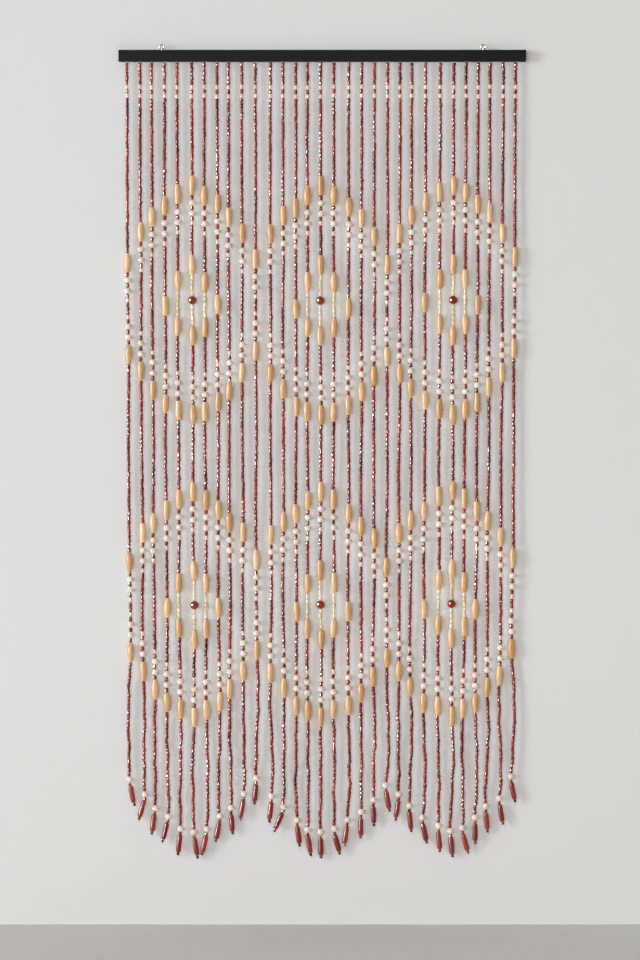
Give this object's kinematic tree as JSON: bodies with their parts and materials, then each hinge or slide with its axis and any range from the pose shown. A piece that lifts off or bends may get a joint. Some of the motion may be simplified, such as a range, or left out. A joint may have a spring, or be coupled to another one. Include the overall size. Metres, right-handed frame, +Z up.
{
  "type": "bead curtain with its batten rail",
  "caption": "Hanging curtain of wooden bead strings in a red ground with pale diamonds, on a straight black batten with two hanging eyes.",
  "frame": {"origin": "middle of the batten's flat back face, which lies against the wall", "axes": "+Z up, +X to the right as seen from the front, +Y from the front into the wall"},
  "size_m": [0.9, 0.02, 1.7998],
  "materials": {
    "rail_paint": "matt black paint on a planed softwood lath",
    "eye_steel": "pale zinc plating",
    "bead_red": "brick-red gloss lacquer on turned wood, uneven from bead to bead",
    "bead_cream": "cream lacquer, satin",
    "bead_ivory": "ivory stain, matt",
    "bead_bare_wood": "bare pale wood with fine grain, satin wax",
    "bead_straw": "thin straw-coloured stem, satin",
    "bead_ball": "red-brown high-gloss lacquer",
    "bead_drop": "red stain with gloss lacquer over visible grain",
    "thread": "white twisted thread"
  },
  "bodies": {
    "root": {"rail": "rail_paint", "eye_left": "eye_steel", "eye_right": "eye_steel", "strings_left": "bead_red", "strings_middle": "bead_red", "strings_right": "bead_red"}
  },
  "joints": []
}
